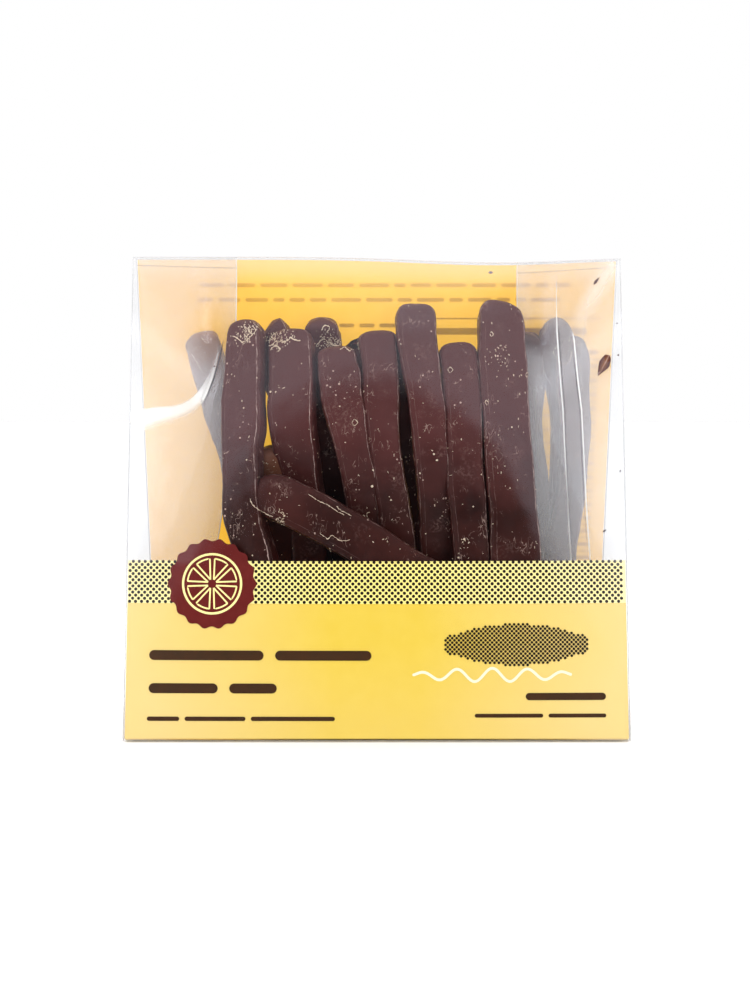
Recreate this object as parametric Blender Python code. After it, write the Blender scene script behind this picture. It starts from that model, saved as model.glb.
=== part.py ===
# Clear gusseted bag of chocolate-covered lemon peel, standing on its base.
# Metres, +Z up, front towards -Y, origin at the middle of the base.
# The sealed bag is one solid out to its film. The printed fields of the film are thin skins on it.
import math

import bmesh
import bpy

# Driving dimensions
bagWidth = 0.114
baseDepth = 0.048
bagHeight = 0.1095
ridgeGap = 0.0046          # front to back across the closed top edge
gussetDepth = 0.0243       # reach of each side fold at the top
foldShift = -0.0015        # the contents push the folds a little forwards
backBow = 0.0025           # how far they bow the back half of each gusset
frontBow = 0.0006
panelBulge = 0.0026        # how far the contents push the front and back panels out
ridgeDip = 0.0013          # how far the top edge sags right of its middle
ridgeDipPlace = 0.028
ridgeDipWidth = 0.026

printMargin = 0.0004       # bare film left beside each printed field
frontPrintLow = 0.0010
frontPrintHigh = 0.0399
backPrintLow = 0.0010
backPrintHigh = 0.1080
skinGap = 0.00035
skinThickness = 0.0003

badgeX = -0.0373
badgeZ = 0.0348
badgeRadius = 0.0101
scallopDepth = 0.0006
scallopCount = 18

# Mesh density
panelSteps = 20
gussetSteps = 4
heightSteps = 26
badgeRings = 3
pointsPerScallop = 6

frontSide = -1
backSide = 1


def clearScene():
    for item in list(bpy.data.objects):
        bpy.data.objects.remove(item, do_unlink=True)


def makeMaterial(name, colour, roughness, alpha=1.0):
    material = bpy.data.materials.new(name)
    material.use_nodes = True
    shader = material.node_tree.nodes["Principled BSDF"]
    shader.inputs["Base Color"].default_value = (*colour, 1.0)
    shader.inputs["Roughness"].default_value = roughness
    shader.inputs["Metallic"].default_value = 0.0
    shader.inputs["Alpha"].default_value = alpha
    material.diffuse_color = (*colour, alpha)
    return material


def addObject(name, mesh, material):
    item = bpy.data.objects.new(name, mesh)
    bpy.context.scene.collection.objects.link(item)
    mesh.materials.append(material)
    return item


def meshFrom(builder, name):
    mesh = bpy.data.meshes.new(name)
    builder.to_mesh(mesh)
    builder.free()
    return mesh


def steps(low, high, count):
    return [low + (high - low) * i / count for i in range(count + 1)]


# Form of the bag: rise runs from 0 at the base to 1 at the ridge

def panelY(side, x, rise):
    flat = baseDepth / 2 * (1 - rise) + ridgeGap / 2 * rise
    across = 1 - (2 * x / bagWidth) ** 2
    return side * (flat + panelBulge * across * math.sin(math.pi * rise))


def foldReach(rise):
    return gussetDepth * math.sqrt(1 - (1 - rise) ** 2)


def gussetY(side, t, rise):
    # t runs from 0 at the panel's edge to 1 at the fold
    edge = panelY(side, bagWidth / 2, rise)
    most = backBow if side == backSide else frontBow
    bow = min(most, abs(edge) * 0.4) * math.sin(math.pi / 2 * min(1, 2 * rise))
    return edge + (foldShift * rise - edge) * t - side * bow * 4 * t * (1 - t)


def heightAt(x, rise):
    dip = ridgeDip * math.exp(-((x - ridgeDipPlace) / ridgeDipWidth) ** 2)
    return bagHeight * rise - dip * rise ** 4


def riseAt(x, z):
    rise = z / bagHeight
    for _ in range(6):
        rise += (z - heightAt(x, rise)) / bagHeight
    return rise


def sectionPoints(rise):
    half = bagWidth / 2
    ring = []
    for x in steps(-half, half, panelSteps)[:-1]:
        ring.append((x, panelY(frontSide, x, rise)))
    for sideX in (1, -1):
        first, second = (frontSide, backSide) if sideX == 1 else (backSide, frontSide)
        for t in steps(0, 1, gussetSteps)[:-1]:
            ring.append((sideX * (half - foldReach(rise) * t), gussetY(first, t, rise)))
        for t in steps(1, 0, gussetSteps)[:-1]:
            ring.append((sideX * (half - foldReach(rise) * t), gussetY(second, t, rise)))
        if sideX == 1:
            for x in steps(half, -half, panelSteps)[:-1]:
                ring.append((x, panelY(backSide, x, rise)))
    return [(x, y, heightAt(x, rise)) for x, y in ring]


def buildBag(material):
    builder = bmesh.new()
    rings = []
    for angle in steps(0, math.pi / 2, heightSteps):
        rings.append([builder.verts.new(point) for point in sectionPoints(1 - math.cos(angle))])
    count = len(rings[0])
    for low, high in zip(rings, rings[1:]):
        for i in range(count):
            j = (i + 1) % count
            builder.faces.new((low[i], low[j], high[j], high[i]))
    builder.faces.new(list(reversed(rings[0])))
    builder.faces.new(rings[-1])
    bmesh.ops.recalc_face_normals(builder, faces=builder.faces)
    return addObject("bag", meshFrom(builder, "bag"), material)


# Printed fields: sheets that follow a panel, thickened outwards

def onPanel(side, x, z, lift):
    return (x, panelY(side, x, riseAt(x, z)) + side * lift, z)


def thicken(item):
    solid = item.modifiers.new("thickness", "SOLIDIFY")
    solid.thickness = skinThickness
    solid.offset = 1.0
    return item


def faceOutward(builder, side):
    builder.normal_update()
    turned = [face for face in builder.faces if face.normal.y * side < 0]
    bmesh.ops.reverse_faces(builder, faces=turned)


def buildField(name, side, lowZ, highZ, rows, material):
    half = bagWidth / 2 - printMargin
    builder = bmesh.new()
    grid = []
    for z in steps(lowZ, highZ, rows):
        row = [onPanel(side, x, z, skinGap) for x in steps(-half, half, panelSteps)]
        grid.append([builder.verts.new(point) for point in row])
    for low, high in zip(grid, grid[1:]):
        for i in range(panelSteps):
            builder.faces.new((low[i], low[i + 1], high[i + 1], high[i]))
    faceOutward(builder, side)
    return thicken(addObject(name, meshFrom(builder, name), material))


def buildBadge(material):
    lift = 2 * skinGap + skinThickness
    pointCount = scallopCount * pointsPerScallop
    builder = bmesh.new()
    centre = builder.verts.new(onPanel(frontSide, badgeX, badgeZ, lift))
    rings = []
    for ring in range(1, badgeRings + 1):
        share = ring / badgeRings
        points = []
        for i in range(pointCount):
            angle = 2 * math.pi * i / pointCount
            notch = (1 - math.cos(scallopCount * angle)) / 2 * scallopDepth
            radius = (badgeRadius - notch) * share
            x = badgeX + radius * math.cos(angle)
            z = badgeZ + radius * math.sin(angle)
            points.append(builder.verts.new(onPanel(frontSide, x, z, lift)))
        rings.append(points)
    for i in range(pointCount):
        j = (i + 1) % pointCount
        builder.faces.new((centre, rings[0][i], rings[0][j]))
        for inner, outer in zip(rings, rings[1:]):
            builder.faces.new((inner[i], outer[i], outer[j], inner[j]))
    faceOutward(builder, frontSide)
    return thicken(addObject("badge", meshFrom(builder, "badge"), material))


def main():
    clearScene()
    film = makeMaterial("clear_film_over_chocolate", (0.32, 0.20, 0.13), 0.12, 0.55)
    yellowInk = makeMaterial("yellow_printed_film", (0.98, 0.70, 0.13), 0.18)
    brownInk = makeMaterial("brown_printed_film", (0.19, 0.028, 0.022), 0.18)
    buildBag(film)
    buildField("front_print", frontSide, frontPrintLow, frontPrintHigh, 8, yellowInk)
    buildField("back_print", backSide, backPrintLow, backPrintHigh, heightSteps, yellowInk)
    buildBadge(brownInk)
    for item in bpy.data.objects:
        item.data.shade_smooth()
        item.data.set_sharp_from_angle(angle=math.radians(35))


main()
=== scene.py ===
import math
import random
from functools import partial

import bmesh
import bpy
from mathutils import Matrix, Vector, noise
from mathutils.bvhtree import BVHTree


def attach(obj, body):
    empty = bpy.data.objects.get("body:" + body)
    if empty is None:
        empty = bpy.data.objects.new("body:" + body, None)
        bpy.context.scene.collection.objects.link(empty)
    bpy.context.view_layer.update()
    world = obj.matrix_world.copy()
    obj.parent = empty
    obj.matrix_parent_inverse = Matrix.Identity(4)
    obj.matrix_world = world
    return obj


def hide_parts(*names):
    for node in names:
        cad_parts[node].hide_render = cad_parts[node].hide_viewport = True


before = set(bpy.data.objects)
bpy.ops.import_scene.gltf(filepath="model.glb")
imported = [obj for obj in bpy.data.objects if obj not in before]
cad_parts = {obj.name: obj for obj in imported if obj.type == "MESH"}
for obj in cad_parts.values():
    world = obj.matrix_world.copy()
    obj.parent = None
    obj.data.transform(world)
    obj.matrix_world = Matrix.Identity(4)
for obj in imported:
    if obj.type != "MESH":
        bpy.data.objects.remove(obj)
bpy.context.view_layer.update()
mm = 0.001
frontSide, backSide = -1, 1


def colour(code):
    # sRGB hex to linear
    parts = [int(code[i:i + 2], 16) / 255 for i in (1, 3, 5)]
    return [p / 12.92 if p <= 0.04045 else ((p + 0.055) / 1.055) ** 2.4 for p in parts] + [1.0]


def addNode(tree, kind, inputs=(), **settings):
    # kind may be followed by an operation. Each input, in order or by name, is a value, an output,
    # or a node for its first output.
    kind, _, operation = kind.partition(" ")
    node = tree.nodes.new(kind if "Node" in kind else "ShaderNode" + kind)
    if operation:
        node.operation = operation
    for key, value in settings.items():
        setattr(node, key, value)
    if isinstance(inputs, dict):
        pairs = [(node.inputs[name], value) for name, value in inputs.items()]
    else:
        pairs = zip([socket for socket in node.inputs if socket.enabled], inputs)
    for socket, value in pairs:
        if isinstance(value, bpy.types.Node):
            value = next(output for output in value.outputs if output.enabled)
        if isinstance(value, bpy.types.NodeSocket):
            tree.links.new(value, socket)
        else:
            socket.default_value = value
    return node


def newMaterial(name, viewColour):
    # gives the material and the function that adds a node to it
    material = bpy.data.materials.new(name)
    material.use_nodes = True
    material.node_tree.nodes.clear()
    material.diffuse_color = viewColour
    return material, partial(addNode, material.node_tree)


def steps(low, high, count):
    return [low + (high - low) * i / count for i in range(count + 1)]


def ramp(value, low, high):
    return min(1, max(0, (value - low) / (high - low)))


def smooth(share):
    return share * share * (3 - 2 * share)


def bell(value, middle, reach):
    return math.exp(-((value - middle) / reach) ** 2)


def wayAlong(points):
    # how far along the path each point is
    lengths = [0.0]
    for a, b in zip(points, points[1:]):
        lengths.append(lengths[-1] + (b - a).length)
    return lengths


def stretchAt(lengths, stop):
    # the stretch of a path that a stop is on, and how far along that stretch it is
    i = next((k for k in range(len(lengths) - 2) if stop <= lengths[k + 1]), len(lengths) - 2)
    return i, (stop - lengths[i]) / max(1e-9, lengths[i + 1] - lengths[i])


def headingAt(points, i, ahead=1):
    return (points[min(i + ahead, len(points) - 1)] - points[max(i - 1, 0)]).normalized()


# Form of the bag, as in the CAD: rise runs from 0 at the base to 1 at the ridge
bagForm = {"width": 114 * mm, "baseDepth": 48 * mm, "height": 109.5 * mm, "ridgeGap": 4.6 * mm,
           "gussetDepth": 24.3 * mm, "foldShift": -1.5 * mm, "backBow": 2.5 * mm, "frontBow": 0.6 * mm,
           "panelBulge": 2.6 * mm, "ridgeDip": 1.3 * mm, "ridgeDipPlace": 28 * mm, "ridgeDipWidth": 26 * mm}
halfBag = bagForm["width"] / 2
# slack in the film: how deep, and the size of its waves
ripple = {"depth": 0.10 * mm, "width": 21 * mm, "height": 30 * mm}


def panelDepth(x, rise):
    flat = bagForm["baseDepth"] / 2 * (1 - rise) + bagForm["ridgeGap"] / 2 * rise
    return flat + bagForm["panelBulge"] * (1 - (x / halfBag) ** 2) * math.sin(math.pi * rise)


def heightAt(x, rise):
    dip = bagForm["ridgeDip"] * bell(x, bagForm["ridgeDipPlace"], bagForm["ridgeDipWidth"])
    return bagForm["height"] * rise - dip * rise ** 4


def riseAt(x, z):
    rise = z / bagForm["height"]
    for _ in range(5):
        rise += (z - heightAt(x, rise)) / bagForm["height"]
    return rise


def filmY(side, x, rise):
    # the slack is always inwards, so the bag keeps its outline
    wave = noise.noise(Vector((x / ripple["width"], rise * bagForm["height"] / ripple["height"], 3.0 * side)))
    slack = ripple["depth"] * (1 + wave) * math.sin(math.pi * min(1, max(0, rise)))
    return side * (panelDepth(x, rise) - slack * (1 - (x / halfBag) ** 4))


def foldReach(rise):
    return bagForm["gussetDepth"] * math.sqrt(max(0, 1 - (1 - rise) ** 2))


def gussetPoint(sideX, side, t, rise):
    # t runs from 0 at the panel's edge to 1 at the fold
    edge = side * panelDepth(halfBag, rise)
    most = bagForm["backBow"] if side == backSide else bagForm["frontBow"]
    bow = min(most, abs(edge) * 0.4) * math.sin(math.pi / 2 * min(1, 2 * rise))
    y = edge + (bagForm["foldShift"] * rise - edge) * t - side * bow * 4 * t * (1 - t)
    x = sideX * (halfBag - foldReach(rise) * t)
    return Vector((x, y, heightAt(x, rise)))


def gussetShare(x, rise):
    # the t of a place on the gusset
    return (halfBag - abs(x)) / max(1e-6, foldReach(rise))


def onPanel(side, x, z, inside):
    return Vector((x, filmY(side, x, riseAt(x, z)) - side * inside, z))


def onRise(side, x, rise, inside=0):
    return Vector((x, filmY(side, x, rise) - side * inside, heightAt(x, rise)))


def newBuilder(*names):
    # a bmesh and its value layers
    builder = bmesh.new()
    return (builder, *[builder.verts.layers.float.new(name) for name in names])


def joinRows(builder, rows, closed=False):
    # faces between rows or rings of vertices
    for low, high in zip(rows, rows[1:]):
        for i in range(len(low) if closed else len(low) - 1):
            j = (i + 1) % len(low)
            builder.faces.new((low[i], low[j], high[j], high[i]))


def joinRings(builder, rings):
    # a closed tube; gives its two end faces
    joinRows(builder, rings, closed=True)
    return [builder.faces.new(list(reversed(rings[0]))), builder.faces.new(rings[-1])]


def sheet(place, reach, columns, low, high, rows, turned=False):
    # place turns (u, v) into a point; u runs over reach to both sides
    builder = bmesh.new()
    grid = [[builder.verts.new(place(u, v)) for u in steps(-reach, reach, columns)] for v in steps(low, high, rows)]
    joinRows(builder, list(zip(*grid)) if turned else grid)
    return builder


def faceOut(builder, side):
    builder.normal_update()
    bmesh.ops.reverse_faces(builder, faces=[f for f in builder.faces if f.normal.y * side < 0])
    return builder


def finishPiece(name, made, material, replaced=(), smoothAngle=35):
    # made is a bmesh, or a mesh that got its material from Geometry Nodes
    mesh = made
    if isinstance(made, bmesh.types.BMesh):
        mesh = bpy.data.meshes.new(name)
        made.to_mesh(mesh)
        made.free()
        mesh.materials.append(material)
    mesh.name = name
    item = bpy.data.objects.new(name, mesh)
    bpy.context.scene.collection.objects.link(item)
    mesh.shade_smooth()
    mesh.set_sharp_from_angle(angle=math.radians(smoothAngle))
    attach(item, "root")
    if replaced:
        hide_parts(*replaced)
    return item


# Materials

def filmMaterial():
    # Cast polypropylene film, clear and stiff: two faces mirror about a fifteenth of the light head on,
    # more aslant. The attribute "haze" says where it was folded and rubbed, and so scatters white and
    # mirrors less. Below 0 it says where ink backs the film, so that only its outer face mirrors.
    headOn, aslant, steepness = 0.064, 0.6, 4.0
    dulling, leastMirror, whitening = -0.56, 0.05, 0.26
    material, add = newMaterial("cast_polypropylene_film", (0.95, 0.96, 0.97, 0.25))
    facing = add("LayerWeight", [0.5]).outputs["Facing"]
    haze = add("Attribute", attribute_name="haze").outputs["Fac"]
    mirror = add("Math MULTIPLY_ADD", [add("Math POWER", [facing, steepness]), aslant, headOn])
    kept = add("Math MULTIPLY_ADD", [add("Math ABSOLUTE", [haze]), dulling, 1.0])
    mirror = add("Math MULTIPLY", [mirror, add("Math MAXIMUM", [kept, leastMirror])])
    white = add("Math MULTIPLY", [add("Math MAXIMUM", [haze, 0.0]), whitening])
    clear = add("BsdfTransparent", [colour("#fcfcfc")])
    body = add("MixShader", [white, clear, add("BsdfDiffuse", [colour("#e6e6e8")])])
    slack = add("TexNoise", [add("TexCoord").outputs["Object"], 55.0, 2.0])
    bump = add("Bump", {"Strength": 0.05, "Distance": 2 * mm, "Height": slack})
    gloss = add("BsdfPrincipled", {"Base Color": colour("#eef1ff"), "Metallic": 1.0, "Roughness": 0.05,
                                   "Normal": bump})
    add("OutputMaterial", [add("MixShader", [mirror, body, gloss])])
    return material


def bendMaterial(name, code, roughness):
    # The same film where it is bent or stressed, drawn as a stroke: white on the flank that faces the light, partly
    # stress whitening and partly painted highlight, and dark on the other, painted shade. The attribute "strength"
    # says how much shows, and "shade" which flank it is.
    material, add = newMaterial(name, (0.95, 0.96, 0.97, 0.6))
    strength, shade = [add("Attribute", attribute_name=key).outputs["Fac"] for key in ("strength", "shade")]
    flank = add("Mix", [shade, colour(code), colour("#2f2b33")], data_type="RGBA")
    bent = add("BsdfPrincipled", {"Base Color": flank, "Roughness": roughness, "IOR": 1.5})
    add("OutputMaterial", [add("MixShader", [strength, add("BsdfTransparent"), bent])])
    return material


def inkMaterial(name, code, shadeCode, through=0.0, sheen=0.3, paintedReflectionCode=None):
    # Flexo ink on the inside of the film: flat and even, with a faint mottle from the anilox roll.
    # through is the share of light that crosses it. The last colour is painted paler towards both sides, a painted
    # reflection of the side lights, and paler low down.
    material, add = newMaterial(name, colour(code))
    place = add("TexCoord").outputs["Object"]
    mottle = add("MapRange", [add("TexNoise", [place, 320.0, 3.0, 0.6]), 0.3, 0.7])
    ink = add("Mix", [mottle, colour(code), colour(shadeCode)], data_type="RGBA")
    if paintedReflectionCode:
        # painted reflection: paler towards both sides, and paler low down
        parts = add("SeparateXYZ", [place])
        sides = add("MapRange", [add("Math ABSOLUTE", [parts.outputs["X"]]), 10 * mm, 59 * mm])
        low = add("MapRange", [parts.outputs["Z"], 22 * mm, 4 * mm, 0.0, 0.22])
        ink = add("Mix", [add("Math ADD", [sides, low]), ink, colour(paintedReflectionCode)], data_type="RGBA")
    face = add("BsdfPrincipled", {"Base Color": ink, "Roughness": 0.32, "IOR": 1.45, "Specular IOR Level": sheen})
    if through:
        face = add("MixShader", [through, face, add("BsdfTranslucent", [ink])])
    add("OutputMaterial", [face])
    return material


def chocolateMaterial():
    # Dark couverture, enrobed and cooled in air: satin sheen, paler and bloomed towards the tops, which is also
    # painted light falling from above, rubbed specks and scratches, and thin pale corner lines, partly scuffing and
    # partly painted highlight
    material, add = newMaterial("dark_chocolate_enrobed", colour("#3a2020"))
    place = add("TexCoord").outputs["Object"]
    # the attributes: where the peel shows through a thin coating; 1, and 0 under the strip that lies across, where
    # marks and corner lines are left out as painted shade; the way from a corner's middle in mm; how much a corner
    # shows its scuffing and painted highlight
    pale, outsidePaintedShade, edge, scuffAndGlint = [add("Attribute", attribute_name=key).outputs["Fac"]
                               for key in ("pale", "outsidePaintedShade", "edge", "scuffAndGlint")]
    # scale, detail and roughness of each pattern
    patterns = {"broad": (75.0, 3.0, 0.55), "rubbed": (120.0, 4.0, 0.62), "scratched": (230.0, 4.0, 0.65),
                "hairlines": (1600.0, 2.0, 0.6), "smeared": (130.0, 3.0, 0.6), "wander": (420.0, 3.0, 0.6),
                "breaks": (560.0, 3.0, 0.6), "grain": (230.0, 6.0, 0.68), "dents": (150.0, 2.0, 0.5)}
    pattern = {key: add("TexNoise", [place, *values]) for key, values in patterns.items()}
    skin = add("Mix", [add("MapRange", [pattern["broad"], 0.32, 0.7]), colour("#220805"), colour("#39130d")],
               data_type="RGBA")
    # paler towards the tops: partly a bloomed coating, partly painted light falling from above
    height = add("Math MULTIPLY_ADD", [pattern["broad"], 12 * mm, add("SeparateXYZ", [place]).outputs["Z"]])
    bloomAndTopLight = add("MapRange", [height, 56 * mm, 77 * mm, 0.0, 0.74])
    # specks of bloom, 0.15 to 0.35 mm, crowded where the coating was rubbed and rare elsewhere
    cells = add("TexVoronoi", [place, 1500.0])
    pick = add("SeparateColor", [cells.outputs["Color"]])
    dot = add("Math LESS_THAN", [cells, add("Math MULTIPLY", [pick.outputs["Green"], 0.40])])
    chosen = add("Math MULTIPLY_ADD", [pattern["rubbed"], 1.6, pick.outputs["Red"]])
    speck = add("Math MULTIPLY", [dot, add("MapRange", [chosen, 1.82, 1.90])])
    # short scratches, 0.06 mm wide: contour lines of a drawn-out noise, kept in patches
    drawn = add("Mapping", {"Vector": place, "Rotation": (0.0, 0.5, 0.0), "Scale": (1.0, 1.0, 0.45)})
    swirl = add("TexNoise", {"Vector": drawn, "Scale": 880.0, "Detail": 1.0, "Roughness": 0.5, "Distortion": 0.6})
    away = add("Math ABSOLUTE", [add("Math SUBTRACT", [swirl, 0.5])])
    patch = add("MapRange", [pattern["scratched"], 0.56, 0.64, 0.0, 0.5])
    scratch = add("Math MULTIPLY", [add("MapRange", [away, 0.022, 0.008]), patch])
    # marks are left out under the strip that lies across, as painted shade
    marks = add("Math MULTIPLY", [add("Math MAXIMUM", [speck, scratch], use_clamp=True), outsidePaintedShade])
    # whitish smear where many fine scratches run together
    patch = add("MapRange", [pattern["smeared"], 0.56, 0.74, 0.0, 0.22])
    smear = add("Math MULTIPLY", [add("MapRange", [pattern["hairlines"], 0.46, 0.62]), patch])
    # pale lines along the corners, thinner and broken in places: partly scuffing and partly painted highlight, set
    # for each corner and mostly strongest on the front right one, which faces the light
    wander = add("Math MULTIPLY", [add("Math SUBTRACT", [pattern["wander"], 0.5]), 0.7])
    corner = add("MapRange", [add("Math ABSOLUTE", [add("Math ADD", [edge, wander])]), 0.13, 0.05])
    broken = add("MapRange", [pattern["breaks"], 0.40, 0.60, 0.12, 1.0])
    scuffedAndGlinting = add("Math MULTIPLY", [add("Math MULTIPLY", [corner, broken]), scuffAndGlint])
    for share, code in ((bloomAndTopLight, "#572f2f"), (pale, "#9c6a46"), (smear, "#a5867e"), (marks, "#b59a8f"),
                        (scuffedAndGlinting, "#ab948e")):
        skin = add("Mix", [share, skin, colour(code)], data_type="RGBA")
    dents = add("Bump", {"Strength": 0.5, "Distance": 1.2 * mm, "Height": pattern["dents"]})
    bump = add("Bump", {"Strength": 0.22, "Distance": 0.6 * mm, "Height": pattern["grain"], "Normal": dents})
    rough = add("MapRange", [pattern["broad"], 0.3, 0.7, 0.30, 0.46])
    add("OutputMaterial", [add("BsdfPrincipled", {"Base Color": skin, "Roughness": rough, "IOR": 1.45,
                                                  "Specular IOR Level": 0.15, "Normal": bump})])
    return material


def sugarMaterial():
    # Candied sugar and dried syrup that broke through the coating: cream, waxy
    material, add = newMaterial("dried_sugar_syrup", colour("#d8c890"))
    blotch = add("TexNoise", [add("TexCoord").outputs["Object"], 260.0, 2.0])
    cream = add("Mix", [blotch, colour("#a5876a"), colour("#f6e8d0")], data_type="RGBA")
    add("OutputMaterial", [add("BsdfPrincipled", {"Base Color": cream, "Roughness": 0.35, "IOR": 1.5})])
    return material


clearFilm = filmMaterial()
foldLightFilm = bendMaterial("polypropylene_film_folds_painted_light", "#f4f4f2", 0.3)
buckleGlareFilm = bendMaterial("polypropylene_film_buckles_painted_glare", "#ffffff", 0.4)
yellowInk = inkMaterial("yellow_flexo_ink", "#e1c34c", "#debf45", paintedReflectionCode="#e6cb85")
yellowBackInk = inkMaterial("yellow_flexo_ink_back_panel", "#ffc844", "#fec43e", through=0.5, sheen=0.06)
ochreInk = inkMaterial("ochre_flexo_ink_seen_from_inside", "#efb836", "#ebb233", sheen=0.06)
paleInk = inkMaterial("pale_yellow_flexo_ink", "#fbec90", "#fae98a", paintedReflectionCode="#fbecae")
dotInk = inkMaterial("dark_brown_flexo_ink", "#1d1002", "#170c00")
brownInk = inkMaterial("brown_flexo_ink", "#3f2208", "#35200a")
badgeInk = inkMaterial("oxblood_flexo_ink", "#682321", "#601f1d", sheen=0.06)
lineInk = inkMaterial("cream_flexo_ink", "#fff2a4", "#fff0a0")
whiteInk = inkMaterial("white_flexo_ink", "#fdf0cf", "#fbeccb")
darkChocolate = chocolateMaterial()
driedSugar = sugarMaterial()
print("materials made")


# The clear film: one closed envelope of front panel, side gussets, back panel, base and ridge.
# More haze than "most" would make the folded sides count as white and not as clear.
filmMesh = {"panelSteps": 96, "gussetSteps": 24, "heightSteps": 96}
filmHaze = {"most": 1.06, "inkBacked": -1.2, "ridge": 0.95, "ridgeFrom": 0.93, "ridgeFull": 0.99,
            "spot": {-1: (0.78, 0.22, 0.83, 0.08), 1: (0.80, 0.16, 0.84, 0.038)},  # t, reach, rise, reach
            "leftClears": 0.85, "rightLeast": 0.25, "rightEdge": (0.7, 1.3), "rightGain": 1.1,
            "creases": ((0.48, 0.16, 0.3), (0.80, 0.14, 0.35))}  # t, reach, how much they clear


def hazeAt(sideX, t, rise):
    # the folded sides are rubbed unevenly: clearest round one spot of each, and on the right along two creases
    middleT, reachT, middleRise, reachRise = filmHaze["spot"][sideX]
    away = math.hypot((t - middleT) / reachT, (rise - middleRise) / reachRise)
    if sideX == -1:
        return filmHaze["most"] - filmHaze["leftClears"] * bell(away, 0, 1)
    spot = filmHaze["rightLeast"] + (1 - filmHaze["rightLeast"]) * ramp(away, *filmHaze["rightEdge"])
    cleared = sum(much * bell(t, middle, reach) for middle, reach, much in filmHaze["creases"])
    return min(filmHaze["most"], spot * (filmHaze["rightGain"] - cleared))


def buildFilm():
    builder, hazeLayer = newBuilder("haze")
    panelCount, gussetCount = filmMesh["panelSteps"], 2 * filmMesh["gussetSteps"]
    rings = []
    for angle in steps(0, math.pi / 2, filmMesh["heightSteps"]):
        rise = 1 - math.cos(angle)
        ring = []
        for side in (frontSide, backSide):
            ring += [onRise(side, x, rise) for x in steps(side * halfBag, -side * halfBag, panelCount)[:-1]]
            for part, low, high in ((side, 0, 1), (-side, 1, 0)):
                ring += [gussetPoint(-side, part, t, rise) for t in steps(low, high, filmMesh["gussetSteps"])[:-1]]
        verts = [builder.verts.new(point) for point in ring]
        whitened = filmHaze["ridge"] * smooth(ramp(rise, filmHaze["ridgeFrom"], filmHaze["ridgeFull"]))
        for vert in verts[:panelCount + 1]:
            vert[hazeLayer] = filmHaze["inkBacked"] if vert.co.z < label["high"] else whitened
        for sideX, start in ((1, panelCount), (-1, 2 * panelCount + gussetCount)):
            for vert in verts[start + 1:start + gussetCount]:
                vert[hazeLayer] = hazeAt(sideX, gussetShare(vert.co.x, rise), rise)
        rings.append(verts)
    bmesh.ops.triangulate(builder, faces=joinRings(builder, rings))
    bmesh.ops.recalc_face_normals(builder, faces=builder.faces)
    finishPiece("bag_film", builder, clearFilm, ("bag",), smoothAngle=30)


# Printed fields lie just inside the film, one behind the other
printDepths = {"line": 0.05 * mm, "badge": 0.09 * mm, "shape": 0.13 * mm, "band": 0.17 * mm, "field": 0.21 * mm,
               "inner": 0.26 * mm}
ribbonForm = {"spacing": 1.2 * mm, "endSteps": 5, "leastReach": 0.04}


def onFront(depth):
    # where a printed thing lies on the front panel
    return lambda x, z: onPanel(frontSide, x, z, printDepths[depth])


def ribbon(builder, path, width, place, rounded=True):
    # a flat stroke along a path; place turns (u, v) into a point on the surface
    points = [Vector(p) for p in path]
    lengths = wayAlong(points)
    total, radius = lengths[-1], width / 2
    stops = {*lengths, *steps(0, total, max(1, math.ceil(total / ribbonForm["spacing"])))}
    if rounded:
        ends = [radius * (1 - math.cos(a)) for a in steps(0, math.pi / 2, ribbonForm["endSteps"])]
        stops.update(ends + [total - end for end in ends])
    rows = []
    for s in sorted(stop for stop in stops if 0 <= stop <= total):
        i, share = stretchAt(lengths, s)
        centre = points[i].lerp(points[i + 1], share)
        along = (points[i + 1] - points[i]).normalized()
        across = Vector((-along.y, along.x))
        reach, near = radius, min(s, total - s)
        if rounded and near < radius:
            reach *= max(math.sqrt(max(0, 1 - (1 - near / radius) ** 2)), ribbonForm["leastReach"])
        a, b = centre + across * reach, centre - across * reach
        rows.append((builder.verts.new(place(a.x, a.y)), builder.verts.new(place(b.x, b.y))))
    joinRows(builder, rows)


def printBars(name, bars, place, side, ink):
    # plain bars where the pack has words: x from, x to, z and height in mm
    builder = bmesh.new()
    for lowX, highX, z, height in bars:
        ribbon(builder, [(lowX * mm, z * mm), (highX * mm, z * mm)], height * mm, place)
    finishPiece(name, faceOut(builder, side), ink)


# Front label; printMargin is the bare film beside each printed field
printMargin = 0.4 * mm
label = {"low": 0.5 * mm, "bandLow": 30.4 * mm, "high": 39.9 * mm, "columns": 96, "rows": 40, "bandRows": 10,
         "bars": [
             (-51.4, -25.5, 18.9, 2.2), (-22.9, -1.2, 18.9, 2.2), (-51.4, -35.8, 11.6, 2.2),
             (-33.2, -22.5, 11.6, 2.2), (-51.7, -44.4, 4.9, 0.95), (-43.2, -29.5, 4.9, 0.95),
             (-28.3, -9.4, 4.9, 0.95), (33.5, 51.6, 9.8, 1.6), (22.0, 37.4, 5.6, 0.85), (38.6, 51.6, 5.6, 0.85)
         ]}


def buildLabel():
    reach, columns = halfBag - printMargin, label["columns"]
    builder = sheet(onFront("field"), reach, columns, label["low"], label["high"], label["rows"])
    finishPiece("front_label", builder, yellowInk, ("front_print",))
    builder = sheet(onFront("band"), reach, columns, label["bandLow"], label["high"], label["bandRows"])
    finishPiece("dot_band_ground", builder, paleInk)
    printBars("label_bars", label["bars"], onFront("shape"), frontSide, brownInk)


# Printed dots by Geometry Nodes: one disc on each point of a carrier mesh
dotPrint = {"sides": 10, "bandPitch": 1.37 * mm, "bandDot": 0.378 * mm, "bandSideMargin": 0.9 * mm,
            "bandMargin": 0.35 * mm, "badgeOverlap": 0.4 * mm, "lemonPitch": 1.0 * mm, "lemonDot": 0.32 * mm,
            "lemonCentre": (31.5 * mm, 21.3 * mm), "lemonHalf": (15.0 * mm, 4.6 * mm), "nub": 0.16,
            "nubReach": 1.4 * mm, "slopeStep": 0.2 * mm}


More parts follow.
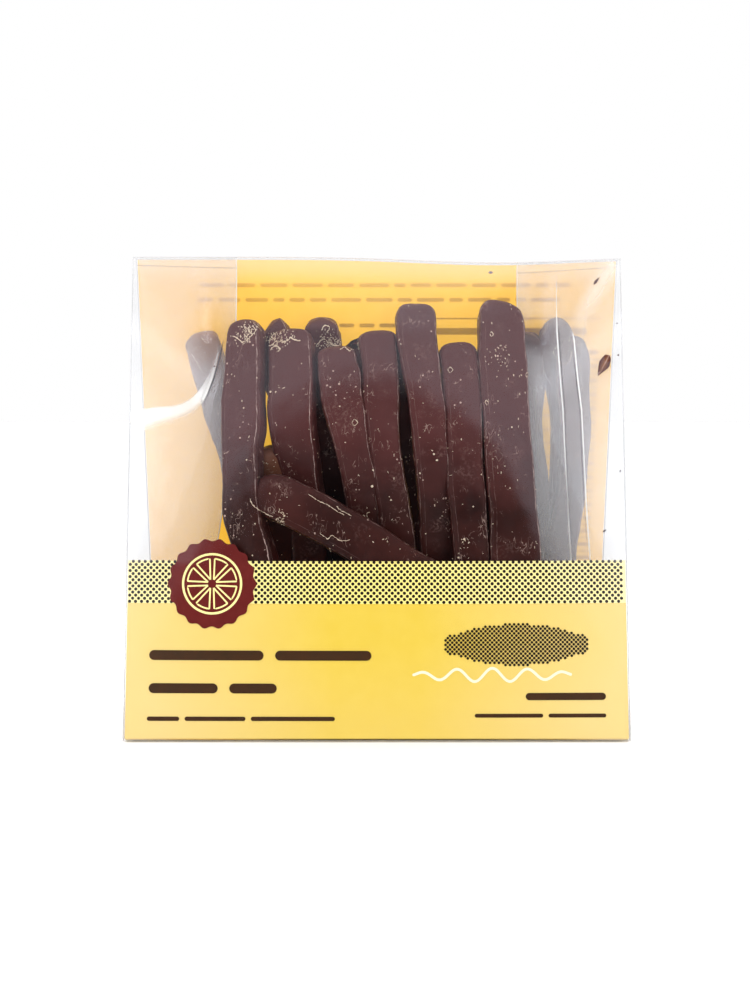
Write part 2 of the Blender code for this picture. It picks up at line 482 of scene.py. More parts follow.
def newTree(name, inputs):
    # gives a node group, the function that adds a node to it, and its inputs
    tree = bpy.data.node_groups.new(name, "GeometryNodeTree")
    for title, kind in {"Geometry": "Geometry", **inputs}.items():
        tree.interface.new_socket(title, in_out="INPUT", socket_type="NodeSocket" + kind)
    tree.interface.new_socket("Geometry", in_out="OUTPUT", socket_type="NodeSocketGeometry")
    add = partial(addNode, tree)
    return tree, add, add("NodeGroupInput").outputs


def scatter(add, material, inputs):
    # the end of a tree: a shape on each point, made real and dressed
    spread = add("GeometryNodeInstanceOnPoints", inputs)
    real = add("GeometryNodeRealizeInstances", [spread])
    dressed = add("GeometryNodeSetMaterial", {"Geometry": real, "Material": material})
    add("NodeGroupOutput", {"Geometry": dressed})


def dotTree():
    tree, add, given = newTree("printed dots", {"Dot radius": "Float", "Dot sides": "Int", "Ink": "Material"})
    disc = add("GeometryNodeMeshCircle", [given["Dot sides"], given["Dot radius"]], fill_type="NGON")
    outward = add("GeometryNodeInputNamedAttribute", ["outward"], data_type="FLOAT_VECTOR")
    turn = add("FunctionNodeAlignRotationToVector", {"Vector": outward}, axis="Z")
    scatter(add, given["Ink"], {"Points": given["Geometry"], "Instance": disc, "Rotation": turn})
    return tree


def runTree(name, carrier, tree, values):
    # evaluates the tree on a carrier mesh and gives the result as a plain mesh
    holder = bpy.data.objects.new(name + "_carrier", carrier)
    bpy.context.scene.collection.objects.link(holder)
    modifier = holder.modifiers.new(name, "NODES")
    modifier.node_group = tree
    for item in tree.interface.items_tree:
        if item.in_out == "INPUT" and item.name in values:
            modifier[item.identifier] = values[item.name]
    bpy.context.view_layer.update()
    mesh = bpy.data.meshes.new_from_object(holder.evaluated_get(bpy.context.evaluated_depsgraph_get()))
    bpy.data.objects.remove(holder)
    return mesh


def printDots(name, points, radius, tree):
    place, step = onFront("shape"), dotPrint["slopeStep"]
    carrier = bpy.data.meshes.new("dot_points")
    carrier.from_pydata([place(x, z) for x, z in points], [], [])
    outward = carrier.attributes.new("outward", "FLOAT_VECTOR", "POINT")
    for i, (x, z) in enumerate(points):
        across, up = place(x + step, z) - place(x - step, z), place(x, z + step) - place(x, z - step)
        outward.data[i].vector = across.cross(up).normalized()
    mesh = runTree(name, carrier, tree, {"Dot radius": radius, "Dot sides": dotPrint["sides"], "Ink": dotInk})
    finishPiece(name, mesh, None)


def buildDots():
    tree = dotTree()
    reach, margin, pitch = halfBag - dotPrint["bandSideMargin"], dotPrint["bandMargin"], dotPrint["bandPitch"]
    points = []
    for row in range(round((label["high"] - label["bandLow"] - 2 * margin) / (pitch / 2)) + 1):
        z = label["bandLow"] + margin + row * pitch / 2
        for i in range(int(2 * reach / pitch) + 1):
            x = -reach + (pitch / 2 if row % 2 else 0) + i * pitch
            away = math.hypot(x - badge["x"], z - badge["z"])
            if x < reach and away > badge["radius"] - dotPrint["badgeOverlap"]:
                points.append((x, z))
    printDots("band_dots", points, dotPrint["bandDot"], tree)
    centre, half, pitch = dotPrint["lemonCentre"], dotPrint["lemonHalf"], dotPrint["lemonPitch"]
    rows, columns = math.ceil(2 * half[1] / pitch), math.ceil(half[0] * (1 + dotPrint["nub"]) / pitch)
    points = []
    for row in range(-rows, rows + 1):
        for i in range(-columns, columns + 1):
            x, z = (i + (0.5 if row % 2 else 0)) * pitch, row * pitch / 2
            stretch = 1.0 + dotPrint["nub"] * bell(abs(x), half[0], dotPrint["nubReach"])
            if (x / (half[0] * stretch)) ** 2 + (z / half[1]) ** 2 < 1:
                points.append((centre[0] + x, centre[1] + z))
    printDots("lemon_dots", points, dotPrint["lemonDot"], tree)


# Badge with a plain lemon slice
badge = {"x": -37.3 * mm, "z": 34.8 * mm, "radius": 10.1 * mm, "scallopDepth": 0.6 * mm, "scallops": 18,
         "pointsPerScallop": 12, "rings": 8, "line": 0.5 * mm, "segmentLine": 0.35 * mm, "peelRadius": 6.6 * mm,
         "pulpRadius": 5.6 * mm, "pithRadius": 1.0 * mm, "segments": 8, "segmentGap": 0.10, "circleSteps": 72,
         "arcSteps": 6}


def onBadge(radius, angle):
    return badge["x"] + radius * math.cos(angle), badge["z"] + radius * math.sin(angle)


def buildBadge():
    builder = bmesh.new()
    place = onFront("badge")
    count = badge["scallops"] * badge["pointsPerScallop"]
    centre = builder.verts.new(place(badge["x"], badge["z"]))
    rings = []
    for ring in range(1, badge["rings"] + 1):
        rings.append([])
        for i in range(count):
            angle = 2 * math.pi * i / count
            notch = (1 - math.cos(badge["scallops"] * angle)) / 2 * badge["scallopDepth"]
            spot = onBadge((badge["radius"] - notch) * ring / badge["rings"], angle)
            rings[-1].append(builder.verts.new(place(*spot)))
    for i in range(count):
        builder.faces.new((centre, rings[0][i], rings[0][(i + 1) % count]))
    spokes = list(zip(*rings))
    joinRows(builder, spokes + spokes[:1])
    finishPiece("badge_disc", faceOut(builder, frontSide), badgeInk, ("badge",))
    builder = bmesh.new()
    place = onFront("line")
    circle = [onBadge(badge["peelRadius"], a) for a in steps(0, 2 * math.pi, badge["circleSteps"])]
    ribbon(builder, circle, badge["line"], place, rounded=False)
    spread = math.pi / badge["segments"] - badge["segmentGap"]
    for i in range(badge["segments"]):
        middle = 2 * math.pi * (i + 0.5) / badge["segments"]
        arc = [onBadge(badge["pulpRadius"], a) for a in steps(middle - spread, middle + spread, badge["arcSteps"])]
        tip = onBadge(badge["pithRadius"], middle)
        ribbon(builder, [tip, *arc, tip], badge["segmentLine"], place, rounded=False)
    finishPiece("badge_lines", faceOut(builder, frontSide), lineInk)


# A loose wave in place of the pale drawing on the label
waveLine = {"width": 0.62 * mm, "from": 8.0 * mm, "to": 44.0 * mm, "z": 14.6 * mm, "height": 1.5 * mm, "turns": 4.5,
            "steps": 90}


def buildWave():
    builder = bmesh.new()
    path = []
    for share in steps(0, 1, waveLine["steps"]):
        x = waveLine["from"] + (waveLine["to"] - waveLine["from"]) * share
        swell = waveLine["height"] * math.sin(math.pi * share) ** 0.5
        path.append((x, waveLine["z"] + swell * math.sin(2 * math.pi * waveLine["turns"] * share)))
    ribbon(builder, path, waveLine["width"], onFront("shape"))
    finishPiece("label_wave", faceOut(builder, frontSide), whiteInk)


# Back panel print: a full yellow field with plain bars and a ruled table, seen from both sides.
# x from, x to and z in mm; table and notes: x from, x to, top z, rows, pitch.
backPrint = {"low": 0.5 * mm, "highRise": 0.9975, "columns": 96, "rows": 96, "barHeight": 0.85, "gap": 1.2,
             "word": (2.6, 7.5), "seed": 5, "lines": [(-42.0, 46.0, 103.4), (-42.8, 44.6, 100.0), (-9.0, 6.5, 94.0)],
             "heading": [(13.5, 32.5, 92.6), (34.8, 50.5, 92.6)], "headingHeight": 1.5,
             "table": (14.5, 53.5, 87.6, 16, 3.4), "name": (9, 20), "amount": (4, 7), "rule": 0.26, "topRule": 95.6,
             "ruleOver": (0.6, 0.4), "notes": (-23.4, 8.0, 88.0, 12, 3.2), "lastNote": 16}


def buildBackPrint():
    builder = sheet(lambda x, rise: onRise(backSide, x, rise, printDepths["field"]), halfBag - printMargin,
                    backPrint["columns"], backPrint["low"] / bagForm["height"], backPrint["highRise"],
                    backPrint["rows"], turned=True)
    finishPiece("back_panel_print", builder, yellowBackInk, ("back_print",))
    shuffle = random.Random(backPrint["seed"])
    height = backPrint["barHeight"]
    bars = [(*heading, backPrint["headingHeight"]) for heading in backPrint["heading"]]

    def addLine(lowX, highX, z):
        x = lowX
        while x < highX - backPrint["word"][0]:
            end = min(highX, x + shuffle.uniform(*backPrint["word"]))
            bars.append((x, end, z, height))
            x = end + backPrint["gap"]

    for line in backPrint["lines"]:
        addLine(*line)
    lowX, highX, top, rows, pitch = backPrint["table"]
    rule = (lowX - backPrint["ruleOver"][0], highX + backPrint["ruleOver"][1])
    for i in range(rows):
        z = top - i * pitch
        addLine(lowX, lowX + shuffle.uniform(*backPrint["name"]), z)
        bars.append((highX - shuffle.uniform(*backPrint["amount"]), highX, z, height))
        bars.append((*rule, z - pitch / 2, backPrint["rule"]))
    bars.append((*rule, backPrint["topRule"], backPrint["rule"]))
    lowX, highX, top, rows, pitch = backPrint["notes"]
    for i in range(rows):
        addLine(lowX, highX if i < rows - 1 else lowX + backPrint["lastNote"], top - i * pitch)
    for name, depth, side, ink, slot in (
            ("back_bars", "shape", backSide, brownInk, "brown_print"),
            ("back_bars_inner", "inner", frontSide, ochreInk, "yellow_print")):
        printBars(name, bars, partial(onPanel, backSide, inside=printDepths[depth]), side, ink)


# The base is printed too, and shows yellow through the clear sides
basePrint = {"height": 0.2 * mm, "columns": 24, "rows": 10}


def buildBasePrint():
    depth = bagForm["baseDepth"] / 2 - printMargin
    builder = sheet(lambda x, y: (x, y, basePrint["height"]), halfBag - printMargin, basePrint["columns"],
                    -depth, depth, basePrint["rows"], turned=True)
    finishPiece("base_print", builder, yellowInk)


# Folds and edges of the film: thin bends drawn as lines of painted highlight and painted shade. Each strength is
# a value low down, one at the ridge, and the rises between which it changes.
edgeForm = {"radius": 0.14 * mm, "sides": 6, "steps": 60, "corner": (0.42, 0.16, 0.62, 0.72),
            "fold": {-1: (0.6, 0.6, 0.75, 0.85), 1: (0.85, 0.3, 0.75, 0.85)},
            "crease": 0.3, "creaseRise": 0.985, "creaseInside": 0.3 * mm, "creaseFrom": 0.05, "creaseSteps": 16,
            "creaseRadius": 0.6, "foldFrom": 0.02, "ridge": 0.22, "foot": 0.2, "footSteps": 8}
# 0 is the painted highlight of the flank that faces the light, 1 the painted shade of the other
edgeShades = {"corner": 0.55, "fold": 0.0, "crease": 0.8, "across": 0.5}


def tubeAlong(builder, layers, points, strengths, shade, radius=edgeForm["radius"]):
    rings = []
    for i, (point, strength) in enumerate(zip(points, strengths)):
        along = headingAt(points, i)
        side = along.cross(Vector((0.3, 1, 0.2))).normalized()
        up = side.cross(along)
        rings.append([])
        for angle in steps(0, 2 * math.pi, edgeForm["sides"])[:-1]:
            vert = builder.verts.new(point + (side * math.cos(angle) + up * math.sin(angle)) * radius)
            vert[layers[0]], vert[layers[1]] = strength, shade
            rings[-1].append(vert)
    joinRings(builder, rings)


def buildEdges():
    builder, *layers = newBuilder("strength", "shade")
    inset = edgeForm["radius"]
    rises = [1 - math.cos(a) for a in steps(0, math.pi / 2, edgeForm["steps"])]

    def along(sideX, side, t, rises, form, shade):
        # t is 0 for an outer corner and 1 for the fold
        push = [Vector((sideX * (2 * t - 1), side * (t - 1), 1 - 2 * rise)) * inset for rise in rises]
        low, high, start, end = form
        tubeAlong(builder, layers, [gussetPoint(sideX, side, t, rise) + p for rise, p in zip(rises, push)],
                  [low + (high - low) * ramp(rise, start, end) for rise in rises], shade)

    for sideX in (-1, 1):
        for side in (frontSide, backSide):
            along(sideX, side, 0, rises, edgeForm["corner"], edgeShades["corner"])
        along(sideX, frontSide, 1, [rise for rise in rises if rise > edgeForm["foldFrom"]], edgeForm["fold"][sideX],
              edgeShades["fold"])
        inside = edgeForm["creaseInside"]
        points = [gussetPoint(sideX, frontSide, t, edgeForm["creaseRise"]) - Vector((0, inside, inside * (1 + 2 * t)))
                  for t in steps(edgeForm["creaseFrom"], 1, edgeForm["creaseSteps"])]
        tubeAlong(builder, layers, points, [edgeForm["crease"]] * len(points), edgeShades["crease"],
                  inset * edgeForm["creaseRadius"])
    for side in (frontSide, backSide):
        across = steps(-halfBag, halfBag, edgeForm["steps"])
        points = [onRise(side, x, 1, inset) - Vector((0, 0, inset)) for x in across]
        tubeAlong(builder, layers, points, [edgeForm["ridge"]] * len(points), edgeShades["across"])
        y = side * (bagForm["baseDepth"] / 2 - inset)
        points = [Vector((x, y, inset)) for x in steps(-halfBag, halfBag, edgeForm["footSteps"])]
        tubeAlong(builder, layers, points, [edgeForm["foot"]] * len(points), edgeShades["across"])
    bmesh.ops.recalc_face_normals(builder, faces=builder.faces)
    finishPiece("film_folds", builder, foldLightFilm, smoothAngle=80)


# Buckled film and glare in the gussets: thin white lines along the creases, partly whitened film and partly painted
# highlight; broad white bands and sweeps, painted reflections of the lights; and dark flanks, painted shade.
# Each point: t, rise, width in mm, strength. soft is how far the two flanks fade in, as shares of the width, from
# the lower or left one. fade is how fast the start of the path does.
bucklesAndGlare = [
    {"sideX": 1, "path": [(0.614, 0.985, 0.3, 0.3), (0.616, 0.90, 0.32, 0.4), (0.614, 0.845, 0.42, 0.95),
     (0.581, 0.674, 0.4, 0.9), (0.584, 0.482, 0.38, 0.85), (0.614, 0.354, 0.42, 0.75), (0.63, 0.22, 0.3, 0.4)]},
    {"sideX": 1, "path": [(0.472, 0.85, 0.2, 0.4), (0.454, 0.828, 0.42, 0.9), (0.426, 0.738, 0.42, 0.95),
     (0.401, 0.675, 0.42, 0.85), (0.397, 0.59, 0.38, 0.85), (0.399, 0.357, 0.42, 0.75), (0.42, 0.2, 0.3, 0.4)]},
    # dark flanks beside the two white crease lines: painted shade
    {"sideX": 1, "shade": 1.0, "aside": 0.42, "path": [(0.616, 0.86, 0.25, 0.2), (0.614, 0.845, 0.3, 0.6),
     (0.581, 0.674, 0.35, 0.4), (0.614, 0.354, 0.35, 0.35)]},
    {"sideX": 1, "shade": 1.0, "aside": -0.40, "path": [(0.454, 0.828, 0.2, 0.2), (0.426, 0.738, 0.35, 0.5),
     (0.401, 0.675, 0.35, 0.4), (0.399, 0.357, 0.3, 0.3)]},
    {"sideX": 1, "path": [(0.30, 0.93, 0.5, 0.05), (0.37, 0.83, 0.9, 0.16), (0.41, 0.74, 0.9, 0.12),
     (0.40, 0.6, 0.6, 0.05)], "soft": (0.5, 0.5)},
    {"sideX": 1, "path": [(0.83, 0.80, 6.0, 0.06), (0.85, 0.72, 7.0, 0.26), (0.86, 0.58, 7.0, 0.26),
     (0.86, 0.36, 7.0, 0.2)], "soft": (0.5, 0.5)},
    # the white sweep across the left side: a painted reflection of the lights
    {"sideX": -1, "path": [(0.02, 0.643, 6.6, 0.85), (0.111, 0.650, 6.2, 0.85), (0.23, 0.658, 5.4, 0.85),
     (0.337, 0.663, 4.7, 0.82), (0.44, 0.667, 4.1, 0.76), (0.528, 0.674, 3.8, 0.72), (0.60, 0.683, 3.6, 0.74),
     (0.655, 0.694, 3.4, 0.86), (0.70, 0.708, 3.0, 0.92), (0.738, 0.726, 2.4, 0.6), (0.772, 0.745, 2.0, 0.3),
     (0.82, 0.775, 1.6, 0.12)], "soft": (0.55, 0.14), "fade": 60},
    {"sideX": -1, "shade": 1.0, "path": [(0.88, 0.825, 0.25, 0.3), (0.865, 0.807, 0.3, 0.8),
     (0.84, 0.779, 0.34, 0.9), (0.80, 0.743, 0.36, 1.0), (0.75, 0.710, 0.34, 0.95), (0.702, 0.683, 0.2, 0.7)]},
    {"sideX": -1, "aside": -0.75, "path": [(0.865, 0.807, 0.6, 0.2), (0.84, 0.779, 1.0, 0.35),
     (0.80, 0.743, 1.3, 0.6), (0.75, 0.710, 1.4, 0.9), (0.712, 0.688, 0.9, 0.9)], "soft": (0.7, 0.2)},
    # broad white glare near the right ridge: a painted reflection
    {"sideX": 1, "path": [(0.06, 0.992, 6.0, 0.26), (0.084, 0.985, 6.4, 0.3), (0.235, 0.935, 6.6, 0.34),
     (0.383, 0.879, 6.0, 0.2), (0.444, 0.824, 5.4, 0.05), (0.47, 0.78, 5.0, 0.0)], "soft": (0.5, 0.5)}
]
streakForm = {"columns": 10, "stepsPerPoint": 8, "soft": (0.3, 0.3), "fade": 12, "off": 0.12, "offEach": 0.03,
              "mostRise": 0.998, "tRange": (0.01, 0.995)}


def buildBucklesAndGlare():
    builder, strengthLayer, shadeLayer = newBuilder("strength", "shade")
    leastT, mostT = streakForm["tRange"]
    for index, streak in enumerate(bucklesAndGlare):
        place = partial(gussetPoint, streak["sideX"], frontSide)
        fine = []
        for a, b in zip(streak["path"], streak["path"][1:]):
            for share in steps(0, 1, streakForm["stepsPerPoint"])[:-1]:
                fine.append([p + (q - p) * share for p, q in zip(a, b)])
        fine.append(streak["path"][-1])
        low, high = streak.get("soft", streakForm["soft"])
        off = Vector((0, (streakForm["off"] + streakForm["offEach"] * index) * mm, 0))
        rows = []
        centres = [place(t, rise) for t, rise, _, _ in fine]
        for i, (_, _, width, strength) in enumerate(fine):
            centre, along = centres[i], centres[min(i + 1, len(fine) - 1)] - centres[max(i - 1, 0)]
            flat = Vector((-along.z, 0, along.x)).normalized()
            here = i / (len(fine) - 1)
            strength *= min(1, streak.get("fade", streakForm["fade"]) * here, streakForm["fade"] * (1 - here))
            rows.append([])
            for share in steps(0, 1, streakForm["columns"]):
                offset = ((share - 0.5) * width + streak.get("aside", 0)) * mm
                x, z = centre.x + flat.x * offset, centre.z + flat.z * offset
                newRise = min(streakForm["mostRise"], riseAt(x, z))
                newT = min(mostT, max(leastT, gussetShare(x, newRise)))
                vert = builder.verts.new(place(newT, newRise) - off)
                vert[strengthLayer] = strength * smooth(min(1, share / low, (1 - share) / high))
                vert[shadeLayer] = streak.get("shade", 0.0)
                rows[-1].append(vert)
        joinRows(builder, rows)
    finishPiece("film_buckles_painted_glare", faceOut(builder, frontSide), buckleGlareFilm, smoothAngle=80)


# Chocolate-covered strips: z, x and visible width in mm from the top down, then the foot on the base. row says
# which panel a strip leans on, lean how far from it, turn how far it is turned about its length. The corner lines,
# partly scuffing and partly painted highlight, are given for its front right, front left, back left and back right
# corner. What a strip doesn't give comes from stripForm.
stripForm = {"thickness": 5.6, "corner": 1.05, "crown": 0.28, "spacing": 1.0, "cornerSteps": 6, "lumps": 0.38,
             "smallLumps": 0.32, "topLumps": 0.75, "filmGap": 0.7, "flatEdge": 3.0, "round": (0.42, 2.5),
             "scuffsAndGlints": (1.0, 0.35, 0.4, 0.4), "pale": 0.0, "turn": 0, "slant": 0, "lean": 3.7, "footWidth": 9.2,
             "footZ": 1.2, "capSteps": 7, "capStart": 0.16, "topReach": 8, "slantReach": 9, "paleReach": 9,
             "sideShows": 0.8, "thickRound": (0.72, 2.2), "curveSteps": 12}
# waves along a strip: how much, how long, which noise; lumps of its coating: how wide, which noise
stripWaves = {"turn": (0.10, 30 * mm, 7.0), "width": (0.05, 14 * mm, 1.0), "thickness": (0.08, 18 * mm, 3.0)}
stripLumps = {"broad": (7.5 * mm, 3.1, 0), "small": (2.6 * mm, 5.7, 0), "top": (3.6 * mm, 0, 4.3)}
strips = [
    {"row": backSide, "top": 92.2, "scuffsAndGlints": (0.7, 1.0, 0.4, 0.4), "pale": 0.75, "line": [(90.4, -41.6, 8.2),
     (86.4, -40.6, 8.6), (78.3, -38.6, 8.4), (69.1, -36.0, 8.5), (64.1, -34.5, 8.5)], "foot": (-24.0, 13.0)},
    {"row": frontSide, "top": 94.8, "turn": 21, "line": [(89.0, -30.5, 9.3), (83.9, -30.6, 9.6),
     (77.1, -30.9, 10.5), (69.5, -30.8, 10.4), (64.9, -31.0, 9.9), (56.3, -30.8, 9.7), (50.8, -30.6, 10.3),
     (45.8, -29.5, 9.8), (40.2, -27.2, 9.2)], "foot": (-19.0, -13.0), "lean": 4.0},
    {"row": backSide, "top": 95.5, "round": (0.85, 1.6), "line": [(93.2, -23.3, 7.6), (89.2, -23.8, 7.8),
     (81.5, -23.4, 7.8), (74.5, -20.6, 7.2), (66.0, -18.2, 7.2)], "foot": (-14.0, 11.0)},
    {"row": frontSide, "top": 92.6, "turn": 14, "line": [(89.0, -19.8, 10.9), (80.6, -19.5, 11.6),
     (73.9, -19.6, 11.6), (68.4, -19.2, 11.4, 5.0), (59.9, -17.9, 10.2, 9.0), (50.0, -16.4, 9.6, 13.5)],
     "foot": (-12.0, 4.0)},
    {"row": backSide, "top": 95.7, "line": [(92.1, -12.9, 7.9), (88.8, -12.7, 8.9)], "foot": (-10.0, 17.0)},
    {"row": frontSide, "top": 88.6, "line": [(84.6, -8.9, 9.3), (81.3, -8.6, 10.0), (77.4, -8.3, 9.7),
     (72.5, -7.2, 9.0), (69.3, -6.5, 8.6), (65.0, -5.6, 8.0, 4.2), (60.6, -4.5, 8.0, 5.8), (54.5, -3.4, 8.0, 9.0)],
     "foot": (1.0, -1.0)},
    {"row": frontSide, "top": 92.3, "lean": 5.2, "line": [(90.2, 0.2, 9.1), (80.8, 0.7, 8.8), (71.8, 0.9, 8.2),
     (65.0, 1.7, 8.0, 5.6), (57.9, 2.7, 8.0, 7.4), (46.6, 4.5, 8.0, 10.4)], "foot": (9.0, -3.0)},
    {"row": backSide, "top": 90.6, "round": (0.6, 2.0), "line": [(89.4, -4.0, 8.2), (86.8, -4.1, 8.6)],
     "foot": (-2.0, 15.0)},
    {"row": frontSide, "top": 98.5, "line": [(94.1, 9.1, 9.1), (89.7, 9.2, 9.3), (82.9, 10.2, 8.8),
     (77.1, 11.3, 8.5), (71.8, 11.9, 8.2), (63.8, 12.4, 8.0, 4.4), (57.2, 13.2, 7.9, 6.0), (47.5, 13.9, 7.9, 9.4)],
     "foot": (16.0, -6.0)},
    {"row": frontSide, "top": 89.4, "lean": 4.6, "line": [(85.5, 19.1, 9.1), (79.2, 19.6, 8.9), (67.9, 20.2, 8.8),
     (57.7, 20.5, 8.7), (41.8, 21.7, 8.5)], "foot": (24.0, -13.0)},
    {"row": frontSide, "top": 99.2, "slant": -0.22, "line": [(96.5, 29.0, 10.1), (92.5, 29.0, 11.0),
     (85.5, 29.1, 11.4), (78.1, 29.5, 10.9), (67.9, 30.0, 10.9), (57.6, 30.6, 10.8), (49.0, 31.2, 11.3),
     (40.4, 31.9, 11.6)], "foot": (34.0, -17.0)},
    {"row": backSide, "top": 92.3, "line": [(90.9, 35.4, 7.6), (85.7, 35.6, 8.6), (79.9, 36.0, 8.9),
     (68.8, 36.0, 8.3), (54.5, 37.8, 8.8)], "foot": (40.5, 17.0)},
    {"row": backSide, "top": 95.7, "lean": 3.2, "round": (0.75, 2.0), "scuffsAndGlints": (1.0, 1.0, 0.4, 0.4),
     "line": [(92.7, 43.0, 8.2), (89.2, 43.2, 9.4), (76.6, 45.8, 8.6), (65.2, 47.0, 8.6), (56.3, 46.6, 8.4),
     (48.0, 46.0, 7.6), (40.0, 45.2, 6.8)], "foot": (47.0, 17.0)},
    {"row": backSide, "top": 91.3, "lean": 6.4, "round": (0.7, 2.0), "scuffsAndGlints": (1.0, 1.0, 0.4, 0.4),
     "line": [(88.7, 46.3, 7.8), (83.1, 46.8, 8.8), (73.9, 47.4, 8.0), (67.4, 48.0, 7.6), (56.3, 47.5, 7.4),
     (48.2, 46.3, 7.4), (40.1, 45.0, 8.4)], "foot": (43.0, 8.0)},
    {"row": backSide, "top": 65.4, "lean": 18.4, "pale": 0.22, "line": [(62.0, -24.6, 8.0), (54.0, -22.8, 10.4),
     (46.0, -22.0, 11.0)], "foot": (-22.0, 16.0)},
    {"row": backSide, "top": 88.4, "line": [(85.0, 6.2, 8.8), (60.0, 7.0, 8.8)], "foot": (8.0, 14.0)},
    {"row": backSide, "top": 86.5, "line": [(83.0, 20.6, 9.8), (60.0, 23.0, 10.6)], "foot": (24.0, 18.0)}
]
# the one that lies across the others: x and z along it
crossStrip = {"line": [(-28.4, 55.8), (-25.0, 54.6), (-17.6, 51.6), (-8.4, 46.6), (0.8, 41.0), (10.0, 35.4),
              (19.0, 30.2), (25.0, 27.0)], "lean": 4.1, "width": 10.6, "thickness": 6.0, "round": (0.55, 2.1),
              "scuffsAndGlints": (0.35, 0.2, 0.2, 0.2)}


def smoothThrough(points):
    # Catmull-Rom through the points
    ends = [points[0] * 2 - points[1]] + points + [points[-1] * 2 - points[-2]]
    fine = []
    for i in range(1, len(ends) - 2):
        p0, p1, p2, p3 = ends[i - 1:i + 3]
        for s in steps(0, 1, stripForm["curveSteps"])[:-1]:
            fine.append(0.5 * (2 * p1 + (p2 - p0) * s + (2 * p0 - 5 * p1 + 4 * p2 - p3) * s * s
                               + (3 * p1 - p0 - 3 * p2 + p3) * s ** 3))
    return fine + [points[-1]]


def restBy(side, x, z, lean):
    # where a strip lies that leans on its panel
    return Vector((x, side * (panelDepth(x, min(1, z / bagForm["height"])) - lean), z))


def stripCentres(strip):
    lean = strip.get("lean", stripForm["lean"])
    rows = [[value * mm for value in (row if len(row) == 4 else (*row, lean))] for row in strip["line"]]
    firstZ, firstX, firstWidth, firstLean = rows[0]
    slope = (rows[0][1] - rows[1][1]) / (rows[0][0] - rows[1][0])
    top = strip["top"] * mm
    rows.insert(0, [top, firstX + slope * (top - firstZ), firstWidth, firstLean])
    points = [restBy(strip["row"], x, z, lean) for z, x, _, lean in rows]
    widths = [row[2] for row in rows]
    last, lastWidth = points[-1], widths[-1]
    footX, footY = (v * mm for v in strip["foot"])
    for share in (0.25, 0.5, 0.75, 1.0):
        points.append(Vector((last.x + (footX - last.x) * share ** 0.9, last.y + (footY - last.y) * share,
                              last.z + (stripForm["footZ"] * mm - last.z) * share)))
        widths.append(lastWidth + (stripForm["footWidth"] * mm - lastWidth) * share)
    return points, widths


def sectionOutline(halfWidth, halfThick, scuffsAndGlints):
    # rounded rectangle from its right side round; gives (u, v, way from the corner's middle in mm, how much scuffing
    # and painted highlight)
    corner = min(stripForm["corner"] * mm, halfWidth * 0.9, halfThick * 0.9)
    flatWidth, flatThick = halfWidth - corner, halfThick - corner
    outline = []
    for quarter, (signU, signV) in enumerate(((1, 1), (-1, 1), (-1, -1), (1, -1))):
        start = quarter * math.pi / 2
        for angle in steps(0, math.pi / 2, stripForm["cornerSteps"]):
            outline.append((signU * flatWidth + corner * math.cos(start + angle),
                            signV * flatThick + corner * math.sin(start + angle),
                            (angle - math.pi / 4) * corner / mm, scuffsAndGlints[quarter]))
        if quarter % 2 == 0:
            flat = [(signU * flatWidth * (1 - 2 * share), signV * halfThick) for share in (0.25, 0.5, 0.75)]
        else:
            flat = [(signU * halfWidth, signV * flatThick * (1 - 2 * share)) for share in (0.33, 0.67)]
        outline += [(u, v, stripForm["flatEdge"], 0.0) for u, v in flat]
    return outline


# where syrup broke through the coating: x, z, reach in mm, how thick, front row or back row
sugarSpots = [
    (-31.0, 91.6, 3.0, 0.35, -1), (-28.6, 92.8, 1.8, 0.35, -1), (-24.6, 90.8, 1.5, 1.0, -1),
    (-22.0, 90.2, 2.2, 0.8, -1), (-23.2, 88.8, 1.2, 0.8, -1), (-10.6, 89.6, 2.4, 0.8, 1),
    (-12.4, 91.6, 1.6, 0.4, 1), (-13.6, 93.4, 1.2, 0.4, 1), (-5.0, 88.6, 1.2, 0.3, -1), (-8.0, 80.2, 1.6, 0.5, 1),
    (8.8, 67.6, 0.8, 0.6, -1), (-25.4, 51.5, 1.0, 0.6, -1), (-21.6, 49.0, 1.0, 0.8, -1), (-3.0, 48.5, 1.0, 0.6, -1),
    (28.0, 87.0, 3.2, 0.12, -1), (30.5, 83.5, 3.6, 0.14, -1), (46.5, 88.0, 2.6, 0.2, 1),
    (-24.0, 61.0, 2.4, 0.2, -1), (-40.5, 90.6, 2.0, 0.25, 1), (12.0, 71.0, 2.0, 0.12, -1),
    (20.0, 44.0, 2.0, 0.15, -1)
]


def sugarAt(place):
    most = 0.0
    for x, z, reach, thick, side in sugarSpots:
        if place.y * side > -0.5 * mm:
            away = math.hypot(place.x - x * mm, place.z - z * mm) / (reach * mm)
            most = max(most, thick * max(0.0, 1 - away * away))
    return most


def outsidePaintedShadeAt(place):
    # 0 under the strip that lies across: the marks and corner lines of the strips behind it are left out there, a
    #                                     painted shade that keeps them darker
    (firstX, firstZ), (lastX, lastZ) = crossStrip["line"][0], crossStrip["line"][-1]
    x, y, z = place / mm
    under = firstZ + (lastZ - firstZ) * (x - firstX) / (lastX - firstX) - z
    return 1 - ramp(under, 2, 5) * ramp(x, -25.5, -24) * ramp(-x, 0, 2) * ramp(y, -12, -10)


def keepInside(place, row):
    # the film holds the strips: its front and back panel, and the fold of the strip's own side
    gap = stripForm["filmGap"] * mm
    rise = min(0.99, max(0.0, place.z / bagForm["height"]))
    depth = panelDepth(place.x, rise) - gap
    t = gussetShare(place.x, rise)
    if t < 1:
        fold = gussetPoint(1, row, max(0.0, t), rise).y
        place.y = min(place.y, fold - gap) if row == frontSide else max(place.y, fold + gap)
    place.y = min(max(place.y, -depth), depth)


def capScale(distance, length, power):
    # how the rounded end of a strip narrows
    if distance >= length:
        return 1.0
    return max(0.02, (1 - (1 - distance / length) ** power)) ** (1 / power)


